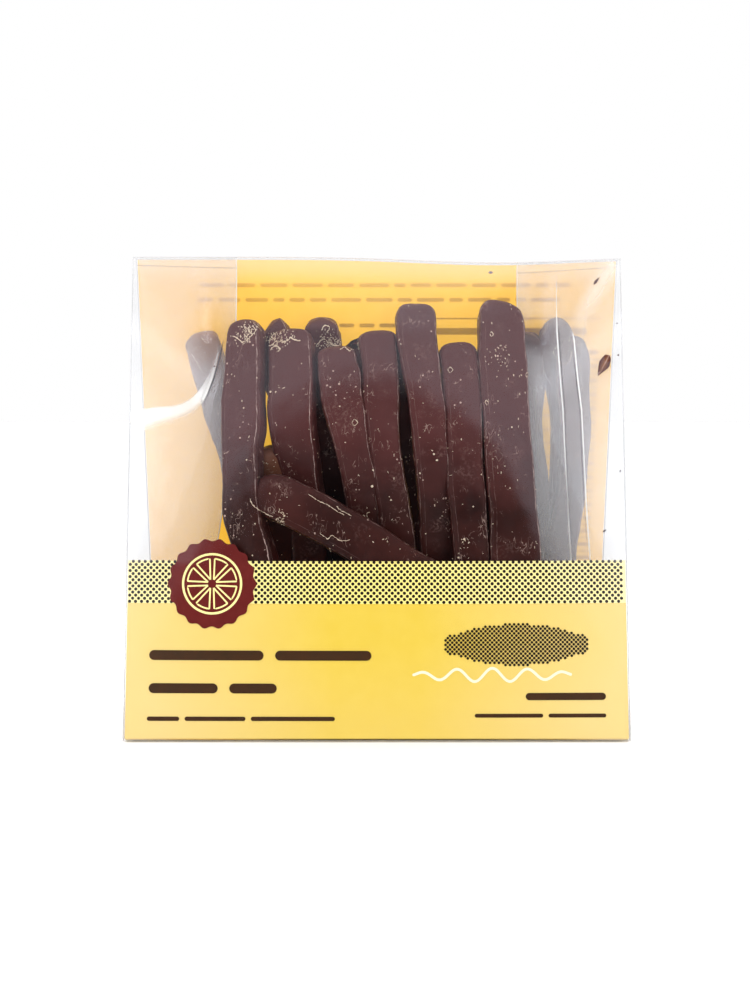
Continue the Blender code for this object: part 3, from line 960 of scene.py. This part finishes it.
def loftStrip(builder, layers, points, widths, strip, seed, axisHint, row):
    given = {**stripForm, **strip}
    thickness, turn = given["thickness"] * mm, math.radians(given["turn"])
    (capShare, capPower), (thickShare, thickPower) = given["round"], given["thickRound"]
    fine = smoothThrough(points)
    shares = steps(0, 1, given["curveSteps"])[:-1]
    widthsFine = [a + (b - a) * s for a, b in zip(widths, widths[1:]) for s in shares] + [widths[-1]]
    lengths = wayAlong(fine)
    total = lengths[-1]
    capLength = min(sum(widths) / len(widths) * capShare, total * 0.3)
    cap = [capLength * (1 - math.cos(a)) for a in steps(given["capStart"], math.pi / 2, given["capSteps"])]
    straight = steps(capLength, total - capLength, max(2, round((total - 2 * capLength) / (given["spacing"] * mm))))

    def wave(key):
        much, size, channel = stripWaves[key]
        return much * noise.noise(Vector((seed, stop / size, channel)))

    def lump(key):
        size, shiftX, shiftY = stripLumps[key]
        return noise.noise(place / size + Vector((seed * shiftX, seed * shiftY, 0)))

    rings = []
    for stop in cap + straight[1:-1] + [total - s for s in reversed(cap)]:
        i, share = stretchAt(lengths, stop)
        centre = fine[i].lerp(fine[i + 1], share)
        width = widthsFine[i] + (widthsFine[i + 1] - widthsFine[i]) * share
        along = headingAt(fine, i, 2)
        across = (axisHint - along * axisHint.dot(along)).normalized()
        out = along.cross(across)
        angle = turn + wave("turn")
        flat = across * math.cos(angle) + out * math.sin(angle)
        deep = out * math.cos(angle) - across * math.sin(angle)
        # a turned strip shows some of its side, so its face is narrower than what is seen
        faceWidth = (width - thickness * given["sideShows"] * math.sin(abs(turn))) / math.cos(turn)
        near = min(stop, total - stop)
        halfWidth = faceWidth / 2 * (1 + wave("width")) * capScale(near, capLength, capPower)
        halfThick = thickness / 2 * (1 + wave("thickness")) * capScale(near, capLength * thickShare, thickPower)
        pale = given["pale"] * min(1, max(0, 1.6 - stop / (given["paleReach"] * mm)))
        atTop, slanted = (max(0, 1 - stop / (given[key] * mm)) for key in ("topReach", "slantReach"))
        ring = []
        for u, v, edgeWay, scuffAndGlint in sectionOutline(halfWidth, halfThick, given["scuffsAndGlints"]):
            crown = given["crown"] * mm * (1 - (u / max(1e-6, halfWidth)) ** 2) * (1 if v > 0 else -1)
            if abs(v) < halfThick * 0.6:
                crown = 0
            place = centre + flat * u + deep * (v + crown) - along * (given["slant"] * u * slanted)
            push = given["lumps"] * mm * (lump("broad") + given["smallLumps"] * lump("small"))
            push += given["topLumps"] * mm * lump("top") * atTop
            vert = builder.verts.new(place + (flat * u + deep * v).normalized() * push)
            keepInside(vert.co, row)
            # under the strip that lies across, marks and corner lines are left out: painted shade
            outsidePaintedShade = outsidePaintedShadeAt(vert.co)
            for layer, value in zip(layers, (edgeWay, scuffAndGlint * outsidePaintedShade, sugarAt(vert.co), outsidePaintedShade, pale)):
                vert[layer] = value
            ring.append(vert)
        rings.append(ring)
    joinRows(builder, rings, closed=True)
    for ring, turned in ((rings[0], False), (rings[-1], True)):
        tip = builder.verts.new(sum((v.co for v in ring), Vector()) / len(ring))
        tip[layers[0]], tip[layers[3]] = stripForm["flatEdge"], 1.0
        for a, b in zip(ring, ring[1:] + ring[:1]):
            builder.faces.new((tip, b, a) if turned else (tip, a, b))


def buildStrips():
    builder, *layers = newBuilder("edge", "scuffAndGlint", "sugar", "outsidePaintedShade", "pale")
    for index, strip in enumerate(strips):
        loftStrip(builder, layers, *stripCentres(strip), strip, index + 1.0, Vector((1, 0, 0)), strip["row"])
    points = [restBy(frontSide, x * mm, z * mm, crossStrip["lean"] * mm) for x, z in crossStrip["line"]]
    loftStrip(builder, layers, points, [crossStrip["width"] * mm] * len(points), crossStrip, 31.0,
              Vector((0.5, 0.18, 0.87)), frontSide)
    bmesh.ops.recalc_face_normals(builder, faces=builder.faces)
    return finishPiece("peel_strips", builder, darkChocolate, smoothAngle=70)


# Sugar grains by Geometry Nodes, thick near the tops and thin elsewhere; densities per square metre
grains = {"Grain size": 0.2 * mm, "Density at tops": 22e6, "Density elsewhere": 70e3, "Seed": 11, "Sugar": driedSugar}


def grainTree():
    tree, add, given = newTree("sugar grains", {"Grain size": "Float", "Density at tops": "Float",
                                                "Density elsewhere": "Float", "Seed": "Int", "Sugar": "Material"})
    near = add("GeometryNodeInputNamedAttribute", ["sugar"], data_type="FLOAT")
    clump = add("TexNoise", {"Scale": 240.0, "Detail": 2.0})
    lumpy = add("MapRange", [clump, 0.42, 0.60])
    wanted = add("Math MULTIPLY_ADD", [near, given["Density at tops"], given["Density elsewhere"]])
    points = add("GeometryNodeDistributePointsOnFaces", {
        "Mesh": given["Geometry"], "Density": add("Math MULTIPLY", [wanted, lumpy]), "Seed": given["Seed"]})
    crumb = add("GeometryNodeMeshIcoSphere", [given["Grain size"], 1])
    sizes, turns = [
        add("FunctionNodeRandomValue", {0: low, 1: high, "Seed": given["Seed"]}, data_type="FLOAT_VECTOR")
        for low, high in (((0.5, 0.3, 0.2), (2.1, 0.8, 0.6)), ((0, 0, 0), (6.28, 6.28, 6.28)))]
    scatter(add, given["Sugar"], {"Points": points, "Instance": crumb, "Rotation": turns, "Scale": sizes})
    return tree


def buildGrains(stripsItem):
    mesh = runTree("sugar_grains", stripsItem.data.copy(), grainTree(), grains)
    finishPiece("sugar_grains", mesh, None)


# Broken coating and dried syrup on the strips: how thick, how far they wander, and x, z along the line in mm
syrupLines = [
    (0.20, 0.25, [(-33.5, 91.0), (-32.3, 90.5), (-31.2, 89.6), (-30.0, 90.1), (-28.8, 91.4)]),
    (0.17, 0.25, [(-30.9, 93.3), (-29.5, 92.1), (-30.0, 90.7)]),
    (0.16, 0.2, [(-29.0, 93.3), (-28.1, 92.4), (-28.8, 91.4)]),
    (0.14, 0.2, [(-28.0, 93.5), (-26.8, 92.2)]),
    (0.24, 0.3, [(-25.6, 88.9), (-24.7, 90.1), (-23.3, 90.5)]),
    (0.28, 0.35, [(-25.4, 88.4), (-24.2, 89.1), (-22.6, 89.8), (-21.0, 89.8), (-19.6, 90.5), (-17.7, 89.8)]),
    (0.26, 0.3, [(-24.7, 87.8), (-23.5, 88.7), (-22.4, 87.8), (-23.3, 87.3)]),
    (0.2, 0.25, [(-13.0, 92.5), (-12.3, 93.7), (-11.1, 93.2), (-11.8, 92.1)]),
    (0.2, 0.25, [(-14.5, 88.7), (-13.5, 89.9), (-12.3, 90.9)]),
    (0.2, 0.25, [(-11.4, 89.9), (-9.9, 89.0), (-8.5, 89.4)]),
    (0.22, 0.3, [(-8.5, 87.8), (-7.4, 88.4), (-6.4, 87.6), (-5.5, 88.0)]),
    (0.2, 0.3, [(43.0, 89.4), (42.0, 87.8), (42.8, 85.9), (44.2, 84.7), (45.9, 85.4), (46.3, 87.5)]),
    (0.12, 0.15, [(-15.6, 54.9), (-13.6, 53.6), (-11.4, 52.6), (-9.2, 51.2), (-7.4, 50.2)]),
    (0.14, 0.25, [(-9.3, 52.2), (-7.7, 51.0), (-5.7, 50.0)]),
    (0.16, 0.2, [(-28.9, 54.0), (-28.3, 52.6), (-26.9, 51.4), (-25.3, 50.4), (-23.6, 49.7)]),
    (0.13, 0.25, [(-12.8, 46.2), (-11.2, 45.0), (-10.0, 45.5), (-8.0, 44.4), (-6.1, 44.6)]),
    (0.26, 0.05, [(-10.6, 41.6), (-9.9, 40.6), (-10.0, 39.2)]),
    (0.12, 0.1, [(26.2, 91.5), (26.6, 92.0), (27.0, 91.4), (26.6, 90.9), (26.2, 91.5)]),
    (0.12, 0.1, [(24.9, 75.7), (25.3, 76.2), (25.7, 75.6), (25.3, 75.1), (24.9, 75.7)]),
    (0.10, 0.1, [(16.4, 83.2), (17.0, 83.8), (17.6, 83.2), (17.0, 82.5), (16.4, 83.2)]),
    (0.10, 0.1, [(-5.7, 71.1), (-5.1, 71.8), (-4.4, 71.1), (-5.1, 70.4), (-5.7, 71.1)]),
    (0.12, 0.1, [(34.4, 82.0), (34.8, 82.6), (35.1, 82.0), (34.7, 81.5), (34.4, 82.0)]),
    (0.18, 0.1, [(-22.3, 48.9), (-21.0, 48.6)]),
    (0.13, 0.2, [(-44.6, 88.0), (-43.4, 86.2), (-42.4, 84.6), (-41.6, 82.6)])
]
# x, z and size in mm of single crumbs on the strips
syrupCrumbs = [
    (7.1, 62.3, 0.5), (7.3, 61.2, 0.4), (13.1, 63.9, 0.45), (13.8, 62.5, 0.5), (9.9, 59.5, 0.4), (-0.9, 60.2, 0.5),
    (-1.1, 56.4, 0.6), (3.3, 53.2, 0.4), (22.0, 52.0, 0.35), (19.9, 44.7, 0.5), (18.6, 40.5, 0.45),
    (11.3, 45.4, 0.3), (31.0, 70.0, 0.4), (30.4, 56.2, 0.3), (-24.5, 78.1, 0.5), (-23.3, 78.1, 0.4),
    (-21.0, 50.0, 0.5), (-24.4, 55.0, 0.35), (-11.1, 64.6, 0.4), (-30.6, 74.4, 0.35), (-8.5, 74.8, 0.3),
    (27.9, 76.0, 0.3), (-29.8, 62.6, 0.35), (-27.7, 48.2, 0.3)
]
# thick and endThick: where the thickness starts, and how far it swings or how fast it grows from an end
syrupForm = {"sides": 5, "shake": 0.6 * mm, "mostGap": 1.5 * mm, "seedStep": 2.7, "thick": (0.55, 0.7),
             "endThick": (0.35, 0.5), "crumbRough": 0.5, "crumbFlat": 0.6, "crumbSeedStep": 3.3}


def buildSyrup(stripsItem):
    mesh = stripsItem.data
    surface = BVHTree.FromPolygons([v.co for v in mesh.vertices], [p.vertices for p in mesh.polygons])
    onStrip = lambda x, z: surface.ray_cast(Vector((x, -0.1, z)), Vector((0, 1, 0)))[:2]
    builder = bmesh.new()
    for index, (thick, wander, line) in enumerate(syrupLines):
        path = smoothThrough([Vector((x, z)) * mm for x, z in line])
        runs, last = [[]], None
        for i, spot in enumerate(path):
            shake = Vector((spot.x / syrupForm["shake"], spot.y / syrupForm["shake"], index * syrupForm["seedStep"]))
            aside = [wander * mm * noise.noise(shake + Vector((0, 0, offset))) for offset in (0, 50)]
            hit, normal = onStrip(spot.x + aside[0], spot.y + aside[1])
            if hit is None:
                continue
            base, swing = syrupForm["thick"]
            radius = thick * mm * (base + swing * noise.noise(shake * 1.7 + Vector((9, 0, 0))))
            base, growth = syrupForm["endThick"]
            radius *= min(1, base + growth * min(i, len(path) - 1 - i))
            along = headingAt(path, i)
            across = Vector((along.x, 0, along.y)).cross(normal).normalized()
            if last and (hit - last).length > syrupForm["mostGap"]:  # the line drops off one strip on to another
                runs.append([])
            runs[-1].append([hit + (across * math.cos(a) + normal * math.sin(a)) * radius
                             for a in steps(0, 2 * math.pi, syrupForm["sides"])[:-1]])
            last = hit
        for run in runs:
            if len(run) > 1:
                rings = [[builder.verts.new(point) for point in ring] for ring in run]
                joinRows(builder, rings, closed=True)
                for ring in (rings[0], rings[-1]):
                    builder.faces.new(ring)
    for index, (x, z, size) in enumerate(syrupCrumbs):
        hit, normal = onStrip(x * mm, z * mm)
        if hit is None:
            continue
        for vert in bmesh.ops.create_icosphere(builder, subdivisions=2, radius=size * mm / 2)["verts"]:
            rough = noise.noise(vert.co / (size * mm) * 3 + Vector((index * syrupForm["crumbSeedStep"], 0, 0)))
            rough = 1 + syrupForm["crumbRough"] * rough
            vert.co = hit + Vector((vert.co.x * rough, vert.co.y * syrupForm["crumbFlat"], vert.co.z * rough))
    bmesh.ops.recalc_face_normals(builder, faces=builder.faces)
    finishPiece("dried_syrup", builder, driedSugar, smoothAngle=60)


# Loose crumbs that cling to the inside of the front film: x, z, long and short side in mm, turn
crumbs = [
    (52.7, 84.6, 6.2, 2.6, 63), (51.2, 103.8, 1.9, 0.6, 55), (26.6, 105.9, 1.0, 0.7, 0), (56.0, 86.6, 0.5, 0.4, 20),
    (55.9, 94.0, 0.4, 0.3, 0), (52.0, 46.5, 0.9, 0.4, 35), (-37.5, 84.0, 0.5, 0.4, 0), (55.9, 60.0, 0.5, 0.3, 70)
]
crumbForm = {"inside": 0.45 * mm, "rough": 0.45, "roughSize": 3.1, "flakeFrom": 3, "point": 1.6, "mostThick": 0.7}


def buildCrumbs():
    builder, edgeLayer, scuffAndGlintLayer, paleLayer = newBuilder("edge", "scuffAndGlint", "pale")
    for index, (x, z, length, breadth, turn) in enumerate(crumbs):
        spot = onPanel(frontSide, x * mm, z * mm, crumbForm["inside"])
        turned = Matrix.Rotation(math.radians(-turn), 3, "Y")
        flake = length > crumbForm["flakeFrom"]  # pointed at both ends, with a pale ridge
        for vert in bmesh.ops.create_icosphere(builder, subdivisions=2, radius=0.5)["verts"]:
            rough = 1 + crumbForm["rough"] * noise.noise(vert.co * crumbForm["roughSize"] + Vector((index, 0, 0)))
            point = max(0.1, 1 - abs(2 * vert.co.x) ** crumbForm["point"]) if flake else 1
            a, b = vert.co.x * length * rough, vert.co.z * breadth * rough * point
            vert[edgeLayer], vert[scuffAndGlintLayer] = b + 0.3 * math.sin(3 * a), 1.0 if flake else 0.0
            vert[paleLayer] = max(0, 1 - abs(2.6 * b / breadth) - abs(1.8 * a / length)) if flake else 0.0
            thick = vert.co.y * min(crumbForm["mostThick"], breadth) * rough
            vert.co = spot + turned @ Vector((a, thick, b)) * mm
    finishPiece("chocolate_crumbs", builder, darkChocolate, smoothAngle=40)


buildFilm()
print("film made")
buildLabel()
buildDots()
buildBadge()
buildWave()
buildBackPrint()
buildBasePrint()
print("prints made")
buildEdges()
buildBucklesAndGlare()
print("folds made")
stripsItem = buildStrips()
print("strips made")
buildGrains(stripsItem)
buildSyrup(stripsItem)
buildCrumbs()
print("grains and crumbs made")


# Studio: white floor and surround, and a dim zone where the photographer stands
studio = {"camera": (-0.4, -334.8, 78.94), "pitch": 4.536, "lens": 50.73, "background": 1.0, "around": 0.9,
          "dim": 0.03, "archAzimuth": 15.5, "archElevation": 27.8, "floorReach": 3.0, "floorDrop": 0.3 * mm}


def buildWorld():
    world = bpy.data.worlds.new("white studio")
    bpy.context.scene.world = world
    world.use_nodes = True
    world.node_tree.nodes.clear()
    add = partial(addNode, world.node_tree)
    white = (1, 1, 1, 1)
    parts = add("SeparateXYZ", [add("TexCoord").outputs["Generated"]]).outputs
    back = add("Math MULTIPLY", [parts["Y"], -1.0])
    azimuth = add("Math ABSOLUTE", [add("Math ARCTAN2", [parts["X"], back])])
    elevation = add("Math ARCSINE", [parts["Z"]])
    wide, high = [add("Math POWER", [add("Math DIVIDE", [source, math.radians(studio[key])]), 2.0])
                  for source, key in ((azimuth, "archAzimuth"), (elevation, "archElevation"))]
    arch = add("Math ADD", [wide, high])
    # each light: its gain, and the fades that bound it, from where it is dark to where it is bright, in radians
    beside, below, radians = (azimuth, 0.28, 0.38), (elevation, 1.15, 0.8), math.radians
    strip = [(elevation, radians(30.8), radians(35.5)), (elevation, radians(50), radians(42)), (azimuth, 0.9, 0.6)]
    lights = [(studio["around"] - studio["dim"], [(arch, 0.92, 1.14)]),  # surround, with an arch cut out of it
              (0.7, [beside, (azimuth, 1.5, 1.3), below]),  # soft boxes to both sides
              (2.6, [beside, (azimuth, 0.5, 0.38), below]),  # brightest beside the dim zone
              (1.2, strip),
              (0.95, [(azimuth, 1.5, 2.1)])]  # wall behind the bag
    level = studio["dim"]
    for gain, fades in lights:
        for fade in fades:
            gain = add("Math MULTIPLY", [add("MapRange", fade, interpolation_type="SMOOTHSTEP"), gain])
        level = add("Math ADD", [gain, level])
    shown = add("MixShader", [add("LightPath").outputs["Is Camera Ray"], add("Background", [white, level]),
                              add("Background", [white, studio["background"]])])
    add("OutputWorld", [shown])


def buildFloor():
    # Matt white paper sweep, white near the bag and greyer farther off: a painted pool of light
    material, add = newMaterial("matt_white_paper", (1, 1, 1, 1))
    place = add("TexCoord").outputs["Object"]
    paper = add("Mix", [add("TexNoise", [place, 900.0]), colour("#fbfbfb"), colour("#ffffff")], data_type="RGBA")
    # painted pool of light: the paper is greyer away from the bag
    far = add("MapRange", [add("VectorMath LENGTH", [place]), 0.12, 0.40], interpolation_type="SMOOTHSTEP")
    paper = add("Mix", [far, paper, colour("#d2d2d2")], data_type="RGBA")
    add("OutputMaterial", [add("BsdfDiffuse", [paper])])
    reach, drop = studio["floorReach"], studio["floorDrop"]
    mesh = bpy.data.meshes.new("floor")
    corners = [(x * reach, y * reach, -drop) for x, y in ((-1, -1), (1, -1), (1, 1), (-1, 1))]
    mesh.from_pydata(corners, [], [(0, 1, 2, 3)])
    mesh.materials.append(material)
    floor = bpy.data.objects.new("floor", mesh)
    bpy.context.scene.collection.objects.link(floor)


def placeCamera():
    lens = bpy.data.cameras.new("camera")
    lens.lens = studio["lens"]
    lens.sensor_width = 36
    lens.clip_start = 0.01
    camera = bpy.data.objects.new("camera", lens)
    camera.location = Vector(studio["camera"]) * mm
    camera.rotation_euler = (math.radians(90 - studio["pitch"]), 0, 0)
    bpy.context.scene.collection.objects.link(camera)
    bpy.context.scene.camera = camera


buildWorld()
buildFloor()
placeCamera()
bpy.context.scene.view_settings.view_transform = "Standard"
bpy.context.scene.cycles.transparent_max_bounces = 32
print("studio made")
